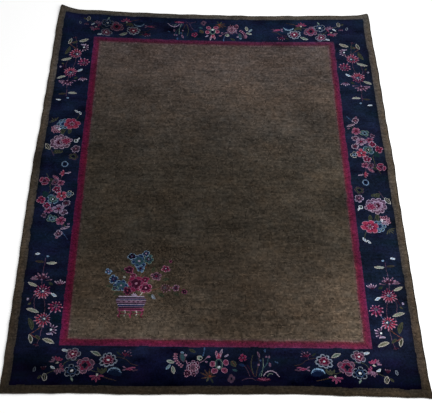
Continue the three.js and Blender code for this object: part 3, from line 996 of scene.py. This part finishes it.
def foot_faces(below, nc, nr):
    """A block's foot as a ladder of narrow faces across its short way, and its two many-sided ends."""
    near = below[:nc]
    right = below[nc - 1:][:nr]
    far = below[nc + nr - 2:][:nc][::-1]
    left = np.roll(below[::-1], 1)[:nr]
    if nr >= nc:
        rungs = np.stack([left[:-1], left[1:], right[1:], right[:-1]], -1)
        first_end = np.concatenate([rungs[0], near[-2:0:-1]])
        last_end = np.concatenate([rungs[-1][:2], far[1:-1], rungs[-1][2:]])
    else:
        rungs = np.stack([near[1:], near[:-1], far[:-1], far[1:]], -1)
        first_end = np.concatenate([rungs[0][:2], left[1:-1], rungs[0][2:]])
        last_end = np.concatenate([rungs[-1], right[-2:0:-1]])
    return rungs[1:-1], (first_end, last_end)


def add_block(piece, block, step, lanes, whole):
    """A closed block of pile over a rectangle of knots. lanes is (first, count, of how many)."""
    c0, c1, r0, r1 = block
    cols, rows = np.meshgrid(np.arange(c0, c1 + 1, step), np.arange(r0, r1 + 1, step))
    nr, nc = cols.shape
    number = piece.add_points(LATTICE[rows, cols], cols, rows)
    cells = WOOL[r0:r1, c0:c1].reshape(nr - 1, step, nc - 1, step, 3).mean(axis=(1, 3)).reshape(-1, 3)
    row, col = np.divmod(np.arange((nr - 1) * (nc - 1)), nc - 1)
    col_at = col[:, None] + (0, 1, 1, 0)
    row_at = row[:, None] + (0, 0, 1, 1)
    if whole:
        u = (col_at * step + c0 - whole[0]) / (whole[1] - whole[0])
        v = (row_at * step + r0 - whole[2]) / (whole[3] - whole[2])
    else:
        first, count, of = lanes
        if nr >= nc:
            lane, begin, long = lane_map(row, nr - 1, count)
            u, v = col_at / (nc - 1), (row_at - begin) / long
        else:
            lane, begin, long = lane_map(col, nc - 1, count)
            u, v = row_at / (nr - 1), (col_at - begin) / long
        u = (first + lane + LANE_GAP + (1 - 2 * LANE_GAP) * u) / of
    uv = np.stack([u, TOP_SPAN[0] + (TOP_SPAN[1] - TOP_SPAN[0]) * v], -1)
    piece.add_faces(grid_quads(number), cells, uv)

    # Walls and a foot just inside the foundation.
    col, row = rim_of(cols), rim_of(rows)
    foot = place(col * KNOT_X - HALF_W, row * KNOT_Y - HALF_L, np.full(len(col), GROUND - ROOTED))
    below = piece.add_points(foot, col, row)
    wall_cells = WOOL[np.clip(row, r0, r1 - 1), np.clip(col, c0, c1 - 1)]
    piece.add_faces(wall_quads(below, rim_of(number)), wall_cells, ribbon_uv(len(col), WALL_SPAN), hard=True)
    # The foot is the block's middle dye at half: painted shade under the pile.
    shaded_foot = WOOL[(r0 + r1) // 2, (c0 + c1) // 2] * 0.5
    rungs, ends = foot_faces(below, nc, nr)
    piece.add_faces(rungs, shaded_foot, ribbon_uv(len(rungs), FOOT_SPAN), hard=True)
    for end in ends:
        piece.add_faces(end[None, :], shaded_foot, ring_uv(len(end), 0.99, 0.005), hard=True)


def wool_material(name, relief, tint=1.0):
    """Matt wool in the knots' own dyes, with strands, weft streaks and a tuft for each knot."""
    material = bpy.data.materials.new(name)
    material.use_nodes = True
    tree = material.node_tree
    tree.nodes.clear()

    def add(kind, inputs=(), **settings):
        """A node. Each of its inputs is a value, or another node's output that is linked to it."""
        node = tree.nodes.new("ShaderNode" + kind)
        for key, value in settings.items():
            setattr(node, key, value)
        for key, value in dict(inputs).items():
            if isinstance(value, bpy.types.NodeSocket):
                tree.links.new(value, node.inputs[key])
            else:
                node.inputs[key].default_value = value
        return node.outputs

    def noise(scale, detail, stretch):
        where = add("Mapping", {"Vector": add("TexCoord")["Object"], "Scale": stretch})["Vector"]
        return add("TexNoise", {"Vector": where, "Scale": scale, "Detail": detail})["Fac"]

    def spread(source, low, high):
        ends = {"From Min": 0.25, "From Max": 0.75, "To Min": low, "To Max": high}
        return add("MapRange", {"Value": source, **ends})["Result"]

    strands = noise(scale=420, detail=3, stretch=(1, 1, 1))
    streaks = noise(scale=1, detail=2, stretch=(14, 210, 40))
    shares = {0: spread(strands, 0.72 * tint, 1.28 * tint), 1: spread(streaks, 0.86, 1.14)}
    share = add("Math", shares, operation="MULTIPLY")["Value"]
    dyed = {0: add("Attribute", attribute_name="dye")["Color"], "Scale": share}
    colour = add("VectorMath", dyed, operation="SCALE")["Vector"]

    # Relief: each knot is a tuft that stands up in its middle.
    knots = add("Attribute", attribute_name="knots")["Vector"]
    inside = add("VectorMath", {0: knots}, operation="FRACTION")["Vector"]
    off = add("VectorMath", {0: inside, 1: (0.5, 0.5, 0.5)}, operation="DISTANCE")["Value"]
    tuft = add("Math", {0: off, 1: -0.7, 2: strands}, operation="MULTIPLY_ADD")["Value"]
    normal = add("Bump", {"Strength": 0.7, "Distance": relief, "Height": tuft})["Normal"]
    matt = {"Roughness": 1.0, "Specular IOR Level": 0.0}
    wool = add("BsdfPrincipled", {"Base Color": colour, "Normal": normal, **matt})["BSDF"]
    add("OutputMaterial", {"Surface": wool})
    return material


PILE = wool_material("wool_pile", relief=0.0011)
BACK = wool_material("knotted_back", relief=0.0006, tint=1.15)
OVERCAST = wool_material("overcast_wool", relief=0.0004)


def pile_piece(name, blocks, lanes=1, step=1, whole=None):
    """A piece of pile made of closed blocks. Its texture runs in lanes, or over a whole rectangle."""
    piece = Piece()
    for k, block in enumerate(blocks):
        add_block(piece, block, step, (k * lanes, lanes, lanes * len(blocks)), whole)
    return piece.build(name, PILE)


def parted(outer, inner):
    """The left, right, near and far block of knots between two rectangles."""
    c0, c1, r0, r1 = outer
    i0, i1, j0, j1 = inner
    return [(c0, i0, r0, r1), (i1, c1, r0, r1), (i0, i1, r0, j0), (i0, i1, j1, r1)]


def pile_pieces():
    """The pile, parted where the bands meet."""
    left, right, near, far = parted(BORDER_KNOTS, STRIPE_KNOTS)
    return [
        pile_piece("outer_band", parted(EDGE_KNOTS, BORDER_KNOTS), lanes=3),
        pile_piece("border_left", [left], lanes=4),
        pile_piece("border_right", [right], lanes=4),
        pile_piece("border_near", [near], lanes=3),
        pile_piece("border_far", [far], lanes=3),
        pile_piece("inner_stripe", parted(STRIPE_KNOTS, FIELD_KNOTS), lanes=3),
        pile_piece("field", parted(FIELD_KNOTS, PANEL_KNOTS), step=2, whole=FIELD_KNOTS),
        pile_piece("bowl_of_flowers", [PANEL_KNOTS], whole=PANEL_KNOTS),
    ]


# The back: its height and unevenness, the share and colour of the cotton between the knots, the cut edge's
# colour, and the rings that close the slab over it, each an inset and a height.
BACK_HEIGHT = 0.35
BACK_SPREAD = 0.1
COTTON_SHARE = 0.18
COTTON = (120, 108, 92)
CUT_EDGE = (104, 92, 76)
BACK_RINGS = ((0, 2.6), (46, GROUND), (126, GROUND), (200, GROUND))


def back_lines(last, dense):
    """Grid lines of the back: every second knot near the rim, every fourth under the field."""
    return np.unique(np.concatenate([
        [1, last - 1], np.arange(2, dense, 2), np.arange(dense, last - dense, 4),
        np.arange(last - dense, last - 1, 2),
    ]))


def knotted_back():
    """The foundation with the knots' backs under it: one closed slab."""
    lines_x, lines_y = back_lines(COLUMNS, FIELD_KNOTS[0]), back_lines(ROWS, FIELD_KNOTS[2])
    cols, rows = np.meshgrid(lines_x, lines_y)
    x, y = cols * KNOT_X - HALF_W, rows * KNOT_Y - HALF_L
    rng = np.random.default_rng(51)
    piece = Piece()
    low = BACK_HEIGHT + BACK_SPREAD * np.clip(rng.standard_normal(cols.shape), -2, 2)
    number = piece.add_points(place(x, y, low), cols, rows)
    under = grid_quads(number)[:, [0, 3, 2, 1]]

    # A face takes the mean of its knots' dyes, greyed by the cotton between them.
    sums = np.zeros((ROWS + 1, COLUMNS + 1, 3))
    sums[1:, 1:] = WOOL.cumsum(0).cumsum(1)
    at = sums[rows, cols]
    block = at[1:, 1:] - at[:-1, 1:] - at[1:, :-1] + at[:-1, :-1]
    size = np.outer(np.diff(lines_y), np.diff(lines_x))[..., None]
    cells = (1 - COTTON_SHARE) * (block / size).reshape(-1, 3) + COTTON_SHARE * linear(COTTON)
    uv = np.stack([(cols - 1) / (COLUMNS - 2), (rows - 1) / (ROWS - 2) * 0.95], -1).reshape(-1, 2)
    piece.add_faces(under, cells, uv[under])

    lower, ring_x, ring_y = rim_of(number), rim_of(x), rim_of(y)
    n = len(lower)
    for k, (inset, height) in enumerate(BACK_RINGS):
        rx, ry = ring_x * (1 - inset / HALF_W), ring_y * (1 - inset / HALF_L)
        upper = piece.add_points(place(rx, ry, np.full(n, height)), rx / KNOT_X, ry / KNOT_Y)
        uv = ribbon_uv(n, (0.955 + 0.01 * k, 0.964 + 0.01 * k))
        piece.add_faces(wall_quads(lower, upper), linear(CUT_EDGE), uv, hard=True)
        lower = upper
    piece.add_faces(lower[None, :], linear(CUT_EDGE), ring_uv(n, 0.9975, 0.002), hard=True)
    return piece.build("foundation", BACK)


# The overcast edge: sides, radius, inset and height of its tube, its colour, and its lanes in the texture.
TUBE_SIDES = 8
TUBE_RADIUS = 4.1
TUBE_INSET = 4.4
TUBE_HEIGHT = 4.8
TUBE_COLOUR = (50, 44, 37)
TUBE_LANES = 8

# Its yarn: how uneven it is, its waist between two turns and its slant, how much its tone differs from turn
# to turn and in longer runs, and how many half turns such a run has.
YARN_UNEVEN = 0.05
YARN_WAIST = 0.84
YARN_SLANT = 0.22
YARN_TONE = 0.16
RUN_TONE = 0.12
RUN = 40


def overcast_edge():
    """Wool overcast on the outermost cords: one closed tube, with a turn of yarn for each knot."""
    path = rim(TUBE_INSET)
    n = len(path)
    rng = np.random.default_rng(61)
    thick = TUBE_RADIUS * (1 + YARN_UNEVEN * np.clip(rng.standard_normal(n), -2, 2))
    after = np.roll(path[:, :2], -1, axis=0) - path[:, :2]
    rings = []
    for swell, shift in ((1.0, 0.0), (YARN_WAIST, 0.5)):
        ring = []
        for k in range(TUBE_SIDES):
            a = 2 * math.pi * k / TUBE_SIDES
            slant = shift + YARN_SLANT * math.sin(a)
            out = thick * swell * math.cos(a)
            x = path[:, 0] + after[:, 0] * slant + path[:, 2] * out
            y = path[:, 1] + after[:, 1] * slant + path[:, 3] * out
            ring.append(place(x, y, TUBE_HEIGHT + thick * swell * math.sin(a)))
        rings.append(np.stack(ring, axis=1))
    points = np.stack(rings, axis=1).reshape(2 * n, TUBE_SIDES, 3)
    piece = Piece()
    number = piece.add_points(points, *np.meshgrid(np.arange(TUBE_SIDES), np.arange(2 * n) / 2))
    following = np.roll(number, -1, axis=0)
    quads = np.stack([number, following, np.roll(following, -1, axis=1), np.roll(number, -1, axis=1)], -1)

    # Each turn has its own tone, over a slower change along the edge.
    tone = 1 + YARN_TONE * np.repeat(rng.standard_normal(n), 2)
    slow = rng.standard_normal(2 * n // RUN + 2)
    tone = tone * (1 + RUN_TONE * np.interp(np.arange(2 * n), np.arange(0, 2 * n + RUN, RUN), slow))
    tone = np.clip(tone, *DYE_LIMITS)[:, None] * linear(TUBE_COLOUR)
    row, col = np.divmod(np.arange(2 * n * TUBE_SIDES), TUBE_SIDES)
    lane, begin, long = lane_map(row, 2 * n, TUBE_LANES)
    u = (lane + 0.04 + 0.92 * (col[:, None] + (0, 0, 1, 1)) / TUBE_SIDES) / TUBE_LANES
    v = 0.01 + 0.98 * ((row[:, None] + (0, 1, 1, 0) - begin) / long)
    piece.add_faces(quads.reshape(-1, 4), tone[row], np.stack([u, v], -1))
    return piece.build("overcast_edge", OVERCAST)


pile = pile_pieces()
back = knotted_back()
edge = overcast_edge()
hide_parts("rug")

# The studio, in metres: a wide pale floor, an even white sky and one large lamp to the right.
FLOOR_REACH = 30.0
FLOOR_COLOUR = (0.92, 0.92, 0.92, 1)
SKY_STRENGTH = 0.85
LAMP_PLACE = Vector((4.0, -0.3, 3.2))
LAMP_POWER = 240
LAMP_SIZE = 4

# The camera: its place over the squared-up carpet's own middle, its turns in degrees, its lens and its film.
CAMERA_PLACE = Vector((-0.1995, -4.3292, 5.226))
CAMERA_TURNS = (37.571, -1.983, -0.317)
CAMERA_LENS = 74.88
CAMERA_FILM = 36


def add_to_scene(name, data):
    thing = bpy.data.objects.new(name, data)
    bpy.context.scene.collection.objects.link(thing)
    return thing


def lay_floor():
    mesh = bpy.data.meshes.new("floor")
    corners = [(x * FLOOR_REACH, y * FLOOR_REACH, 0) for x, y in ((-1, -1), (1, -1), (1, 1), (-1, 1))]
    mesh.from_pydata(corners, [], [(0, 1, 2, 3)])
    paper = bpy.data.materials.new("floor_paper")
    paper.use_nodes = True
    shader = paper.node_tree.nodes["Principled BSDF"]
    shader.inputs["Base Color"].default_value = FLOOR_COLOUR
    shader.inputs["Roughness"].default_value = 0.9
    shader.inputs["Specular IOR Level"].default_value = 0.1
    mesh.materials.append(paper)
    add_to_scene("floor", mesh)


def light_studio():
    world = bpy.data.worlds.new("studio")
    bpy.context.scene.world = world
    world.use_nodes = True
    background = world.node_tree.nodes["Background"]
    background.inputs["Color"].default_value = (1, 1, 1, 1)
    background.inputs["Strength"].default_value = SKY_STRENGTH
    lamp = bpy.data.lights.new("softbox", "AREA")
    lamp.energy = LAMP_POWER
    lamp.size = LAMP_SIZE
    softbox = add_to_scene("softbox", lamp)
    softbox.location = LAMP_PLACE
    softbox.rotation_euler = (-LAMP_PLACE).to_track_quat("-Z", "Y").to_euler()
    bpy.context.scene.view_settings.view_transform = "Standard"
    bpy.context.scene.view_settings.look = "None"


def set_camera():
    data = bpy.data.cameras.new("camera")
    data.lens = CAMERA_LENS
    data.sensor_width = CAMERA_FILM
    camera = add_to_scene("camera", data)
    camera.location = CAMERA_PLACE - Vector((CENTRE_X, CENTRE_Y, 0)) / 1000
    camera.rotation_euler = [math.radians(a) for a in CAMERA_TURNS]
    bpy.context.scene.camera = camera


lay_floor()
light_studio()
set_camera()

bpy.context.view_layer.update()
